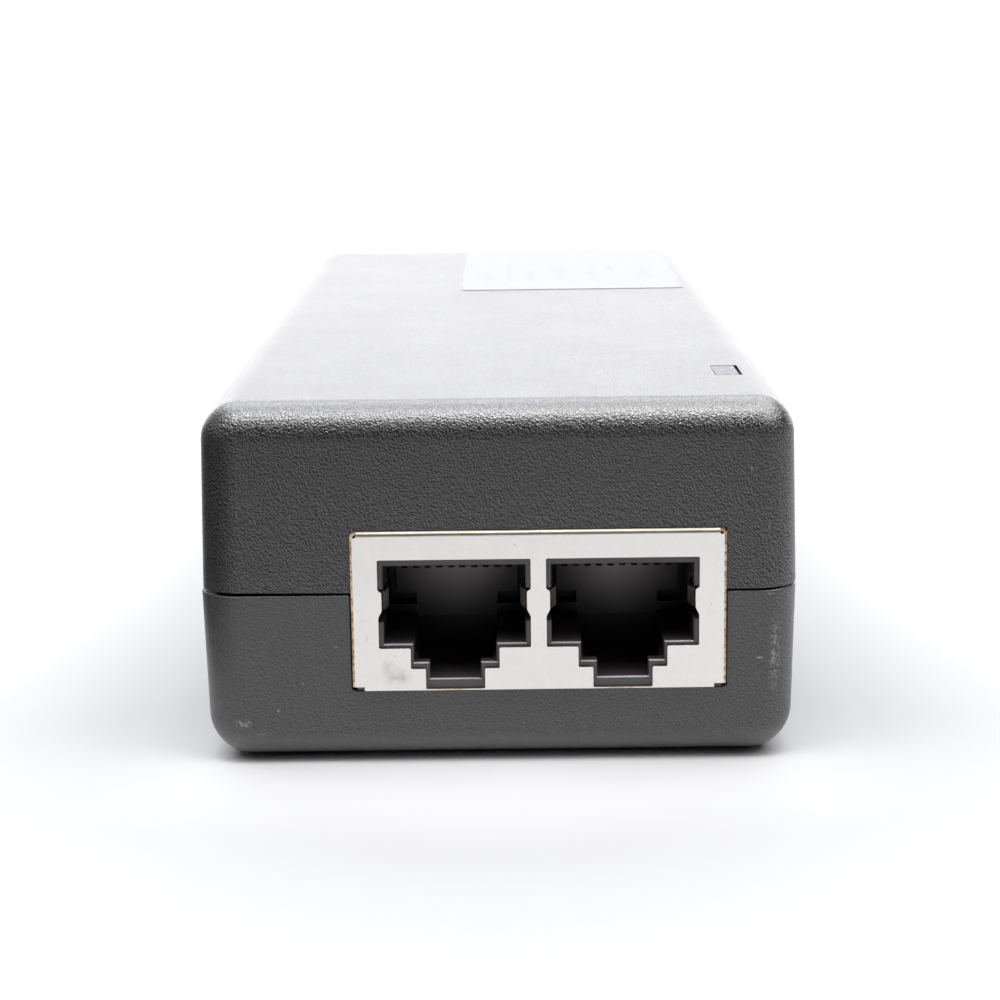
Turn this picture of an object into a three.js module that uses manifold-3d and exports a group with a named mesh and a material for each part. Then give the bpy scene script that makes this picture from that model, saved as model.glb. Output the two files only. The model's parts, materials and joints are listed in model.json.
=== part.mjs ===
// PoE injector: a mains brick with two shielded modular network ports in its front
// and a C14 mains inlet in its back. Millimetres, +Z up.
// Origin: centre of the footprint, on the underside. The ports face -Y, the inlet +Y.

import * as THREE from "three";
import { mergeVertices } from "three/addons/utils/BufferGeometryUtils.js";
import Module from "manifold-3d";

const wasm = await Module();
wasm.setup();

// ---------------------------------------------------------------- driving dimensions

// Case: two moulded half shells
const LENGTH = 124;
const WIDTH = 50;
const HEIGHT = 30.6;
const SEAM_Z = 14.8; // height of the parting line, where the case is widest
const SEAM_GAP = 0.12;
const SEAM_CHAMFER = 0.12;
const DRAFT = THREE.MathUtils.degToRad(1.33);
const CORNER_R = 3.4; // upright corners
const TOP_R = 3.1; // round of the top edge
const BOTTOM_R = 3.9; // round of the bottom edge
const WALL = 2;
const CORNER_STEPS = 6;
const TONGUE = { thick: 0.8, high: 1, clearance: 0.15 };

// Case screws, driven from below through the board into the upper shell's pillars
const SCREW_X = 17.5;
const SCREW_Y = [-36, 52];
const SCREW = { headR: 2.5, headZ: 0.6, headTop: 2.3, shankR: 1.25, tip: 12 };
const BOSS = { r: 4, top: 4.7, boreR: 2.8, boreTop: 2.4, holeR: 1.6 };
const PILLAR = { r: 3, bottom: 6.5, pilotR: 1.4, pilotTop: 14 };

// Main board
const BOARD = { x: 22.2, front: -58.8, back: 58.5, bottom: 4.8, top: 6.4, holeR: 1.8 };
const MOUNT_GAP = 0.1; // between the board and what stands on it
const STAND_Z = BOARD.top + MOUNT_GAP;

// Network jack: a shield around a moulded housing with two ports
const JACK_X = 3.3;
const JACK_FRONT = -62.2;
const PORT_PITCH = 13.97;
const SHIELD = { width: 31.1, bottom: STAND_Z, top: 20.1, depth: 19, sheet: 0.25, bend: 0.45 };
const HOUSING = { width: 30.4, top: 19.75, front: 0.35, back: 18.65 };
const PORT = {
  half: 5.9, // half width of the plug cavity
  top: 17.08,
  floor: 10.44,
  channelHalf: 3.45, // channel that the plug's latch runs in
  channelFloor: 8.83,
  slotHalf: 2.13, // slot for the latch's tail
  slotFloor: 7.42,
  depth: 10.5,
  wallHalf: 5.3, // the back wall stops short of the sides, and a deep slot runs up each side of it
  sideDepth: 12,
  blockDepth: 10.1, // low blocks in the back corners that the plug stops against
  blockTop: 11.3,
  cornerHalf: 3.55, // hole over each block
  cornerTop: 12.25,
  cornerDepth: 11.8,
  channelEnd: 10.15, // top of the latch pocket under the back wall
  leadIn: 0.12,
  leadDepth: 0.49,
  latchDepth: 11.6,
};
const SPRING_WINDOW = { low: 12.3, high: 15.15, depth: 5.6, outer: 6.7 };
const CONTACT_PITCH = 1.016;
const CONTACT_WIRE = 0.35;
const CONTACTS = 8;
const COMB_SLOTS = 10;
const PORT_SIDES = { left: -1, right: 1 };

// Mains inlet
const INLET = { halfX: 13.65, halfZ: 9.9, wall: 1.45, chamfer: 5, proud: 0.2, depth: 22, cavity: 16.5 };
const INLET_Z = STAND_Z + INLET.halfZ;
const INLET_PINS = { line: [-7, -2], neutral: [7, -2], earth: [0, 2] };
const FIT_GAP = 0.15; // between the case's openings and what fills them

// Status light
const LED_X = 20.3;
const LED_Y = -45.6;
const LED_WINDOW = { halfX: 1.2, halfY: 2.75 };

// Label on the top
const LABEL = { x0: -4.2, x1: 21.4, y0: 15.8, y1: 58.2, thick: 0.1, r: 1 };

// ---------------------------------------------------------------- solids

// A closed geometry as a solid that can be joined and cut.
function solidOf(geometry) {
  const bare = geometry.clone();
  bare.deleteAttribute("normal");
  bare.deleteAttribute("uv");
  const merged = mergeVertices(bare, 1e-4);
  return new wasm.Manifold(
    new wasm.Mesh({
      numProp: 3,
      vertProperties: merged.attributes.position.array,
      triVerts: new Uint32Array(merged.index.array),
    }),
  );
}

function geometryOf(solid) {
  const { vertProperties, triVerts } = solid.getMesh();
  const geometry = new THREE.BufferGeometry();
  geometry.setAttribute("position", new THREE.BufferAttribute(vertProperties, 3));
  geometry.setIndex(new THREE.BufferAttribute(triVerts, 1));
  const faceted = geometry.toNonIndexed();
  faceted.computeVertexNormals();
  return faceted;
}

function join(...solids) {
  return solids.reduce((sum, next) => sum.add(next));
}

function cut(body, ...tools) {
  return tools.reduce((rest, tool) => rest.subtract(tool), body);
}

// How a flat outline's own axes lie in space when it is swept along x, y or z.
// Outlines are given as [y, z] along x, [x, z] along y and [x, y] along z.
const [X, Y, Z] = [new THREE.Vector3(1, 0, 0), new THREE.Vector3(0, 1, 0), new THREE.Vector3(0, 0, 1)];
const BASIS = {
  x: new THREE.Matrix4().makeBasis(Y, Z, X),
  y: new THREE.Matrix4().makeBasis(X, Z, Y.clone().negate()),
  z: new THREE.Matrix4(),
};

function prism(points, axis, from, to) {
  const shape = Array.isArray(points)
    ? new THREE.Shape(points.map(([u, v]) => new THREE.Vector2(u, v)))
    : points;
  const depth = to - from;
  const geometry = new THREE.ExtrudeGeometry(shape, { depth, bevelEnabled: false, curveSegments: 4 });
  geometry.translate(0, 0, axis === "y" ? -to : from);
  return solidOf(geometry.applyMatrix4(BASIS[axis]));
}

function box(x0, x1, y0, y1, z0, z1) {
  const geometry = new THREE.BoxGeometry(x1 - x0, y1 - y0, z1 - z0);
  return solidOf(geometry.translate((x0 + x1) / 2, (y0 + y1) / 2, (z0 + z1) / 2));
}

// Cylinder along z, from z0 to z1.
function post(radius, x, y, z0, z1, sides = 20) {
  const geometry = new THREE.CylinderGeometry(radius, radius, z1 - z0, sides).rotateX(Math.PI / 2);
  return solidOf(geometry.translate(x, y, (z0 + z1) / 2));
}

// Solid of revolution about z. The profile's [radius, z] points run from the bottom up.
function turned(profile, sides = 24) {
  const geometry = new THREE.LatheGeometry(
    profile.map(([r, z]) => new THREE.Vector2(r, z)),
    sides,
  );
  return solidOf(geometry.rotateX(Math.PI / 2));
}

// Closed skin through outlines of equal length. Each is a list of points, from one end to the other.
function loft(rings) {
  const count = rings[0].length;
  const positions = rings.flat().flatMap((p) => p.toArray());
  const index = [];
  for (let r = 0; r + 1 < rings.length; r++) {
    for (let i = 0; i < count; i++) {
      const a = r * count + i;
      const b = r * count + ((i + 1) % count);
      index.push(a, b, b + count, a, b + count, a + count);
    }
  }
  const cap = (ring) => THREE.ShapeUtils.triangulateShape(ring, []);
  const last = (rings.length - 1) * count;
  for (const [a, b, c] of cap(rings[0])) index.push(a, c, b);
  for (const [a, b, c] of cap(rings[rings.length - 1])) index.push(last + a, last + b, last + c);
  const geometry = new THREE.BufferGeometry();
  geometry.setAttribute("position", new THREE.Float32BufferAttribute(positions, 3));
  geometry.setIndex(index);
  return geometry;
}

// Outline of a strip of even thickness that follows a bent line.
function strip(line, thickness) {
  const points = line.map(([u, v]) => new THREE.Vector2(u, v));
  const sides = points.map((point, i) => {
    const before = points[Math.max(i - 1, 0)];
    const after = points[Math.min(i + 1, points.length - 1)];
    const along = [point.clone().sub(before), after.clone().sub(point)].filter((d) => d.length() > 0);
    const normals = along.map((d) => new THREE.Vector2(-d.y, d.x).normalize());
    const mitre = normals[0].clone().add(normals[normals.length - 1]).normalize();
    const offset = mitre.multiplyScalar(thickness / 2 / mitre.dot(normals[0]));
    return [point.clone().add(offset), point.clone().sub(offset)];
  });
  const outline = [...sides.map((s) => s[1]), ...sides.map((s) => s[0]).reverse()];
  return outline.map((p) => [p.x, p.y]);
}

// ---------------------------------------------------------------- case

// One level of the case: a rectangle with round corners, drawn in by inset.
function caseRing(inset, z) {
  const r = Math.max(CORNER_R - 0.9 * inset, 0.6);
  const halfX = WIDTH / 2 - inset - r;
  const halfY = LENGTH / 2 - inset - r;
  const ring = [];
  for (const [sx, sy, start] of [[1, 1, 0], [-1, 1, 1], [-1, -1, 2], [1, -1, 3]]) {
    for (let i = 0; i <= CORNER_STEPS; i++) {
      const a = ((start + i / CORNER_STEPS) * Math.PI) / 2;
      ring.push(new THREE.Vector3(sx * halfX + r * Math.cos(a), sy * halfY + r * Math.sin(a), z));
    }
  }
  return ring;
}

const draftInset = (z) => Math.abs(z - SEAM_Z) * Math.tan(DRAFT);

// Levels of a rounded edge of the given radius, from the upright wall to the flat at endZ.
function edgeRings(endZ, radius, inset, steps) {
  const up = Math.sign(endZ - SEAM_Z);
  return Array.from({ length: steps + 1 }, (_, i) => {
    const a = ((i / steps) * Math.PI) / 2;
    const z = endZ - up * radius * (1 - Math.sin(a));
    return caseRing(inset + draftInset(z) + radius * (1 - Math.cos(a)), z);
  });
}

// Outside of one half shell, from the seam to its flat at endZ.
function halfOutside(endZ, radius) {
  const up = Math.sign(endZ - SEAM_Z);
  const rim = SEAM_Z + (up * SEAM_GAP) / 2;
  return [
    caseRing(SEAM_CHAMFER, rim),
    caseRing(draftInset(rim), rim + up * SEAM_CHAMFER),
    ...edgeRings(endZ, radius, 0, 6),
  ];
}

// Hollow of one half shell, which starts beyond the seam so that it opens the rim.
function halfInside(endZ, radius) {
  const up = Math.sign(endZ - SEAM_Z);
  return [caseRing(WALL, SEAM_Z - up * 2), ...edgeRings(endZ - up * WALL, radius - WALL, WALL, 3)];
}

const rising = (rings) => solidOf(loft(rings[0][0].z < rings[rings.length - 1][0].z ? rings : [...rings].reverse()));

const eachScrew = (make) => SCREW_Y.flatMap((y) => [-SCREW_X, SCREW_X].map((x) => make(x, y)));

function jackOpening() {
  const half = SHIELD.width / 2 + FIT_GAP;
  return box(
    JACK_X - half, JACK_X + half,
    -LENGTH / 2 - 2, -LENGTH / 2 + 2 * WALL,
    SHIELD.bottom - FIT_GAP, SHIELD.top + FIT_GAP,
  );
}

// Outline of the inlet: a rectangle with its two upper corners cut off.
function inletOutline(halfX, halfZ, chamfer) {
  return [
    [-halfX, -halfZ], [halfX, -halfZ], [halfX, halfZ - chamfer],
    [halfX - chamfer, halfZ], [-halfX + chamfer, halfZ], [-halfX, halfZ - chamfer],
  ];
}

function inletOpening() {
  const outline = inletOutline(INLET.halfX + FIT_GAP, INLET.halfZ + FIT_GAP, INLET.chamfer);
  return prism(outline, "y", LENGTH / 2 - 2 * WALL, LENGTH / 2 + 2).translate([0, 0, INLET_Z]);
}

function lowerShell() {
  const rim = SEAM_Z - SEAM_GAP / 2;
  const tongue = [caseRing(WALL - TONGUE.thick, rim - 1), caseRing(WALL - TONGUE.thick, SEAM_Z + TONGUE.high)];
  const hollow = cut(
    join(rising(halfOutside(0, BOTTOM_R)), rising(tongue)),
    rising(halfInside(0, BOTTOM_R)),
  );
  const bossed = join(hollow, ...eachScrew((x, y) => post(BOSS.r, x, y, WALL / 2, BOSS.top)));
  return cut(
    bossed,
    ...eachScrew((x, y) => post(BOSS.boreR, x, y, -1, BOSS.boreTop)),
    ...eachScrew((x, y) => post(BOSS.holeR, x, y, 1, BOSS.top + 1)),
    jackOpening(),
    inletOpening(),
  );
}

function upperShell() {
  const tongueRoom = WALL - TONGUE.thick - TONGUE.clearance;
  const rabbet = [caseRing(tongueRoom, SEAM_Z - 1), caseRing(tongueRoom, SEAM_Z + TONGUE.high + TONGUE.clearance)];
  const hollow = cut(
    rising(halfOutside(HEIGHT, TOP_R)),
    rising(halfInside(HEIGHT, TOP_R)),
    rising(rabbet),
  );
  const pillared = join(hollow, ...eachScrew((x, y) => post(PILLAR.r, x, y, PILLAR.bottom, HEIGHT - WALL / 2)));
  return cut(
    pillared,
    ...eachScrew((x, y) => post(PILLAR.pilotR, x, y, PILLAR.bottom - 1, PILLAR.pilotTop)),
    jackOpening(),
    inletOpening(),
    box(
      LED_X - LED_WINDOW.halfX, LED_X + LED_WINDOW.halfX,
      LED_Y - LED_WINDOW.halfY, LED_Y + LED_WINDOW.halfY,
      HEIGHT - 2 * WALL, HEIGHT + 1,
    ),
  );
}

// Pan-head screw with a cross recess, its head down.
function caseScrew() {
  const { headR, headZ, headTop, shankR, tip } = SCREW;
  const body = turned([
    [0, headZ], [headR - 0.5, headZ], [headR, headZ + 0.5], [headR, headTop],
    [shankR, headTop], [shankR, tip - 2], [0.3, tip], [0, tip],
  ], 20);
  const recess = [box(-1.5, 1.5, -0.35, 0.35, 0, headZ + 1), box(-0.35, 0.35, -1.5, 1.5, 0, headZ + 1)];
  return cut(body, ...recess);
}

function topLabel() {
  const { x0, x1, y0, y1, r, thick } = LABEL;
  const outline = new THREE.Shape();
  outline.moveTo(x0 + r, y0);
  outline.lineTo(x1 - r, y0).absarc(x1 - r, y0 + r, r, -Math.PI / 2, 0);
  outline.lineTo(x1, y1 - r).absarc(x1 - r, y1 - r, r, 0, Math.PI / 2);
  outline.lineTo(x0 + r, y1).absarc(x0 + r, y1 - r, r, Math.PI / 2, Math.PI);
  outline.lineTo(x0, y0 + r).absarc(x0 + r, y0 + r, r, Math.PI, 1.5 * Math.PI);
  return prism(outline, "z", HEIGHT, HEIGHT + thick);
}

// Clear column that carries the status light to the window in the top.
function lightPipe() {
  const { halfX, halfY } = LED_WINDOW;
  const column = box(-halfX + FIT_GAP, halfX - FIT_GAP, -halfY + FIT_GAP, halfY - FIT_GAP, 16, HEIGHT - 0.2);
  const roof = HEIGHT - WALL;
  const shoulder = box(-halfX - 0.3, halfX + 0.3, -halfY - 0.4, halfY + 0.4, roof - 0.9, roof - 0.1);
  return join(column, shoulder);
}

// Flat light-emitting diode on two legs.
function statusLed() {
  const leg = (y) => box(-0.25, 0.25, y - 0.25, y + 0.25, STAND_Z, 10);
  return join(box(-1, 1, -2.5, 2.5, 9, 15.7), leg(-1.27), leg(1.27));
}

// ---------------------------------------------------------------- network jack
// Built around x = 0 with y counted inwards from the shield's face.

const portXs = Object.values(PORT_SIDES).map((side) => (side * PORT_PITCH) / 2);

// Mirrors the right half of an upright outline, which runs from the top down, onto the left.
const mirrored = (half) => [...half.map(([x, z]) => [-x, z]), ...[...half].reverse()];

// The stepped mouth of a port in the moulding, widened by grow.
function portOutline(grow) {
  return mirrored([
    [PORT.half + grow, PORT.top + grow],
    [PORT.half + grow, PORT.floor - grow],
    [PORT.channelHalf + grow, PORT.floor - grow],
    [PORT.channelHalf + grow, PORT.channelFloor - grow],
    [PORT.slotHalf + grow, PORT.channelFloor - grow],
    [PORT.slotHalf + grow, PORT.slotFloor - grow],
  ]);
}

// The opening in the shield in front of a port. It is nipped in where a grounding spring is folded.
function shieldOutline() {
  return mirrored([
    [6.35, 17.7], [6.35, 15.1], [6.03, 14.93], [6.03, 13.35], [6.33, 12.8],
    [6.33, 10.13], [3.7, 10.13], [3.7, 8.35], [2.47, 8.35], [2.47, 6.75],
  ]);
}

// Grounding spring folded back into the port from the opening's edge; sign is +1 or -1.
function groundingSpring(portX, sign) {
  const line = [[6.14, 0.1], [5.6, 1.9], [5.75, 2.6], [6.2, 5.2]].map(([x, y]) => [portX + sign * x, y]);
  return prism(strip(line, 0.2), "z", 13.4, 14.88);
}

function jackShield() {
  const { width, bottom, top, depth, sheet, bend } = SHIELD;
  const half = width / 2;
  const arc = [0, 1, 2, 3].map((i) => (i * Math.PI) / 6);
  const side = [
    [depth, bottom], [depth, top],
    ...arc.map((a) => [bend - bend * Math.sin(a), top - bend + bend * Math.cos(a)]),
    [0, bottom],
  ];
  const front = [
    [-half, bottom],
    [half, bottom],
    ...arc.map((a) => [half - bend + bend * Math.cos(a), top - bend + bend * Math.sin(a)]),
    ...arc.map((a) => [-half + bend - bend * Math.sin(a), top - bend + bend * Math.cos(a)]),
  ];
  const outside = prism(side, "x", -half, half).intersect(prism(front, "y", -1, depth + 1));
  const cornerNotch = (s) => box(s * half - 0.97, s * half + 0.97, -1, 1, bottom - 1, bottom + 0.33);
  const shell = cut(
    outside,
    box(-half + sheet, half - sheet, sheet, depth - sheet, bottom - 1, top - sheet),
    ...portXs.map((x) => prism(shieldOutline(), "y", -1, 1).translate([x, 0, 0])),
    cornerNotch(-1),
    cornerNotch(1),
  );
  return join(shell, ...portXs.flatMap((x) => [groundingSpring(x, -1), groundingSpring(x, 1)]));
}

// Everything that one port takes out of the moulding.
function portHollow(portX) {
  const { half, top, floor, channelHalf, channelFloor, slotHalf, slotFloor } = PORT;
  const { front, back } = HOUSING;
  const mouth = front - 0.1;
  const ring = (grow, y) => portOutline(grow).map(([x, z]) => new THREE.Vector3(x, z, -y));
  const leadIn = loft([ring(0, PORT.leadDepth), ring(PORT.leadIn, front - 0.01)]);
  const comb = Array.from({ length: COMB_SLOTS }, (_, i) => {
    const x = (i - (COMB_SLOTS - 1) / 2) * CONTACT_PITCH;
    return box(x - 0.27, x + 0.27, PORT.depth - 0.1, 11.7, 14.45, 18.2);
  });
  const springWindow = (s) => {
    const [a, b] = [s * half - s * 0.1, s * SPRING_WINDOW.outer].sort((p, q) => p - q);
    return box(a, b, mouth, SPRING_WINDOW.depth, SPRING_WINDOW.low, SPRING_WINDOW.high);
  };
  const besideWall = (s, from, depth, low, high) => {
    const [a, b] = [s * from, s * half].sort((p, q) => p - q);
    return box(a, b, PORT.depth - 0.1, depth, low, high);
  };
  const stopBlock = (s) => {
    const [a, b] = [s * channelHalf, s * (half + 0.1)].sort((p, q) => p - q);
    return box(a, b, PORT.blockDepth, PORT.depth + 0.1, floor, PORT.blockTop);
  };
  const hollow = join(
    solidOf(leadIn.applyMatrix4(BASIS.y)),
    box(-half, half, mouth, PORT.depth, floor, top),
    ...[-1, 1].flatMap((s) => [
      besideWall(s, PORT.wallHalf, PORT.sideDepth, PORT.blockTop, top),
      besideWall(s, PORT.cornerHalf, PORT.cornerDepth, PORT.blockTop, PORT.cornerTop),
    ]),
    box(-channelHalf, channelHalf, mouth, PORT.depth, channelFloor, floor + 0.1),
    box(-channelHalf, channelHalf, PORT.depth - 0.1, PORT.latchDepth, channelFloor, PORT.channelEnd),
    box(-slotHalf, slotHalf, mouth, 2, slotFloor, channelFloor + 0.1),
    box(-3.2, 3.2, 1.5, PORT.latchDepth, slotFloor, channelFloor + 0.1), // behind the latch's catches
    springWindow(-1),
    springWindow(1),
    box(-4.9, 4.9, 1.6, PORT.depth, top - 0.1, 18.35), // room above the contacts
    box(-4.1, 4.1, 1.6, 3, 18.2, HOUSING.top + 1), // slit that the contacts come down through
    box(-4.1, 4.1, 2.4, 13, 18.85, HOUSING.top + 1), // channel for the leads
    box(-5, 5, 12.3, back + 1, SHIELD.bottom - 1, HOUSING.top + 1), // pocket for the carrier
    ...comb,
  );
  return cut(hollow, stopBlock(-1), stopBlock(1)).translate([portX, 0, 0]);
}

function jackHousing() {
  const half = HOUSING.width / 2;
  const block = box(-half, half, HOUSING.front, HOUSING.back, SHIELD.bottom, HOUSING.top);
  return cut(block, ...portXs.map(portHollow));
}

// Spring arm of a contact: a hook at the front, then a slope down to the comb.
function contactArm() {
  const line = [[2, 18.95], [1.95, 18.5], [2.3, 18.05], [10.75, 14.95]];
  return prism(strip(line, CONTACT_WIRE), "x", -CONTACT_WIRE / 2, CONTACT_WIRE / 2);
}

const contactXs = Array.from({ length: CONTACTS }, (_, i) => (i - (CONTACTS - 1) / 2) * CONTACT_PITCH);

// Moulded block that holds a port's leads, which run forward over the housing and down to the board.
function contactCarrier() {
  const lead = strip([[2.6, 19.2], [13.6, 19.2], [13.6, 18]], CONTACT_WIRE);
  const w = CONTACT_WIRE / 2;
  return join(
    box(-4.6, 4.6, 12.5, 18.3, 8, 18.6),
    ...contactXs.map((x) => prism(lead, "x", x - w, x + w)),
    ...contactXs.map((x) => box(x - w, x + w, 16.2, 16.2 + CONTACT_WIRE, STAND_Z, 9)),
  );
}

// ---------------------------------------------------------------- mains inlet
// Built around its own centre line, with y = 0 at its face and the inside at -y.

function inletHousing() {
  const { halfX, halfZ, wall, chamfer, depth, cavity, proud } = INLET;
  const collarFace = -proud - WALL - 0.6;
  const holes = Object.values(INLET_PINS).map(([x, z]) =>
    box(x - 1.1, x + 1.1, -depth - 1, -cavity + 1, z - 2.1, z + 2.1),
  );
  const body = join(
    prism(inletOutline(halfX, halfZ, chamfer), "y", -depth, 0),
    prism(inletOutline(halfX + 0.8, halfZ, chamfer + 0.8), "y", collarFace - 1.8, collarFace),
  );
  const inside = inletOutline(halfX - wall, halfZ - wall, chamfer - wall / 2);
  return cut(body, prism(inside, "y", -cavity, 1), ...holes);
}

// Flat pin with a bevelled tip and a tail that turns down to the board.
function inletPin(pinZ) {
  const back = -INLET.depth - 2.5;
  const foot = STAND_Z - INLET_Z - pinZ;
  const outline = [
    [back, foot], [back + 1.2, foot], [back + 1.2, -2], [-3.9, -2], [-3, -1.3],
    [-3, 1.3], [-3.9, 2], [back, 2],
  ];
  return prism(outline, "x", -1, 1);
}

// ---------------------------------------------------------------- board and what stands on it

function mainBoard() {
  const plate = box(-BOARD.x, BOARD.x, BOARD.front, BOARD.back, BOARD.bottom, BOARD.top);
  return cut(plate, ...eachScrew((x, y) => post(BOARD.holeR, x, y, BOARD.bottom - 1, BOARD.top + 1)));
}

function insulationSheet() {
  const sheet = box(-20, 20, -32, 57, 3, 3.4);
  const holes = eachScrew((x, y) => post(BOSS.r + 0.5, x, y, 2, 4));
  return cut(sheet, ...holes);
}

// Components stand on z = 0 around x = y = 0.

const block = (x, y, z, z0 = 0) => box(-x / 2, x / 2, -y / 2, y / 2, z0, z0 + z);

const can = (radius, height) =>
  turned([[0, 0], [radius - 0.4, 0], [radius, 0.4], [radius, height - 0.6], [radius - 0.6, height], [0, height]]);

// Electrolytic capacitor that lies along y, crimped near its base.
function lyingCan(radius, length) {
  const upright = turned([
    [0, 0], [radius - 0.6, 0], [radius, 0.6], [radius, 2], [radius - 0.5, 2.6],
    [radius, 3.2], [radius, length - 0.6], [radius - 0.6, length], [0, length],
  ]);
  return upright.rotate([90, 0, 0]).translate([0, length / 2, radius]);
}

// Disc on two legs, its face towards x.
function disc(radius, thick) {
  const body = post(radius, 0, 0, -thick / 2, thick / 2).rotate([0, 90, 0]).translate([0, 0, radius + 1.5]);
  const leg = (y) => box(-0.3, 0.3, y - 0.3, y + 0.3, 0, radius);
  return join(body, leg(-2.5), leg(2.5));
}

// Chip in a moulded case with legs along both long sides.
function chip(width, length, height, legsPerSide) {
  const pitch = length / legsPerSide;
  const legs = Array.from({ length: legsPerSide }, (_, i) => {
    const y = (i - (legsPerSide - 1) / 2) * pitch;
    return box(-width / 2 - 1.1, width / 2 + 1.1, y - 0.25, y + 0.25, 0, height / 2);
  });
  return join(block(width, length, height - 0.3, 0.3), ...legs);
}

// Power device: a flat case on three legs, with a metal tab above it.
function powerDevice() {
  const legs = [-2.5, 0, 2.5].map((y) => box(-0.4, 0.4, y - 0.4, y + 0.4, 0, 5));
  return join(box(-2.2, 2.2, -5, 5, 4, 13), box(0.9, 2.2, -5, 5, 4, 19), ...legs);
}

// Folded aluminium plate.
function heatsink(length) {
  return prism(strip([[0.75, 0], [0.75, 20.25], [-4, 20.25]], 1.5), "y", -length / 2, length / 2);
}

// Core of two U halves around one window.
const chokeCore = () => cut(block(16, 6, 15), box(-4, 4, -5, 5, 3.5, 11.5));
const chokeWinding = () => cut(block(7.2, 10, 7.4, 3.8), box(-2.1, 2.1, -3.1, 3.1, 0, 15));

// Core of two E halves; its middle leg carries the winding.
const transformerCore = () => cut(block(25, 8, 19), box(-9, -3.5, -5, 5, 3, 16), box(3.5, 9, -5, 5, 3, 16));
const transformerWinding = () => cut(block(17.6, 19, 12.4, 3.3), box(-3.65, 3.65, -4.15, 4.15, 0, 20));

const drum = () => turned([[0, 0], [4.2, 0], [4.2, 1.4], [3.6, 1.4], [3.6, 8.6], [4.2, 8.6], [4.2, 10], [0, 10]]);

// Four-legged rectifier, its face towards y.
function bridgeRectifier() {
  const legs = [-5.4, -1.8, 1.8, 5.4].map((x) => box(x - 0.4, x + 0.4, -0.3, 0.3, 0, 4));
  return join(block(14.5, 3.6, 10.5, 3), ...legs);
}

// ---------------------------------------------------------------- materials and assembly

const look = (color, roughness, metalness = 0) => new THREE.MeshStandardMaterial({ color, roughness, metalness });

const LOOK = {
  blackPlastic: look(0x3a383b, 0.55),
  jackPlastic: look(0x2c292b, 0.5),
  nickel: look(0xcfccc8, 0.3, 1),
  gold: look(0xd8b25c, 0.3, 1),
  steel: look(0x9a9a9c, 0.4, 1),
  aluminium: look(0xb8babd, 0.4, 1),
  clear: look(0xd4d6da, 0.3),
  label: look(0xfafafa, 0.6),
  board: look(0x2f5b3a, 0.6),
  film: look(0xd8cf9a, 0.5),
  ferrite: look(0x3c3d40, 0.8),
  copper: look(0xb06a3c, 0.4, 1),
  tape: look(0xd9b84a, 0.6),
  sleeve: look(0x1c2733, 0.4),
  epoxy: look(0x252528, 0.6),
  blueDisc: look(0x2f6fa8, 0.5),
  yellowBox: look(0xd8b63a, 0.5),
};

function mesh(name, solid, material, x = 0, y = 0, z = 0) {
  const piece = new THREE.Mesh(geometryOf(solid), material);
  piece.name = name;
  piece.position.set(x, y, z);
  return piece;
}

function makeCase() {
  const group = new THREE.Group();
  group.add(mesh("lower_shell", lowerShell(), LOOK.blackPlastic));
  group.add(mesh("upper_shell", upperShell(), LOOK.blackPlastic));
  group.add(mesh("top_label", topLabel(), LOOK.label));
  group.add(mesh("light_pipe", lightPipe(), LOOK.clear, LED_X, LED_Y));
  eachScrew((x, y) => [x, y]).forEach(([x, y], i) => {
    group.add(mesh(`case_screw_${i + 1}`, caseScrew(), LOOK.steel, x, y));
  });
  return group;
}

function makeJack() {
  const group = new THREE.Group();
  group.position.set(JACK_X, JACK_FRONT, 0);
  group.add(mesh("jack_shield", jackShield(), LOOK.nickel));
  group.add(mesh("jack_housing", jackHousing(), LOOK.jackPlastic));
  for (const [side, sign] of Object.entries(PORT_SIDES)) {
    const portX = (sign * PORT_PITCH) / 2;
    group.add(mesh(`${side}_contact_carrier`, contactCarrier(), LOOK.jackPlastic, portX));
    contactXs.forEach((x, i) => {
      group.add(mesh(`${side}_contact_${i + 1}`, contactArm(), LOOK.gold, portX + x));
    });
  }
  return group;
}

function makeInlet() {
  const group = new THREE.Group();
  group.position.set(0, LENGTH / 2 + INLET.proud, INLET_Z);
  group.add(mesh("inlet_housing", inletHousing(), LOOK.jackPlastic));
  for (const [name, [x, z]] of Object.entries(INLET_PINS)) {
    group.add(mesh(`inlet_pin_${name}`, inletPin(z), LOOK.nickel, x, 0, z));
  }
  return group;
}

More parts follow.
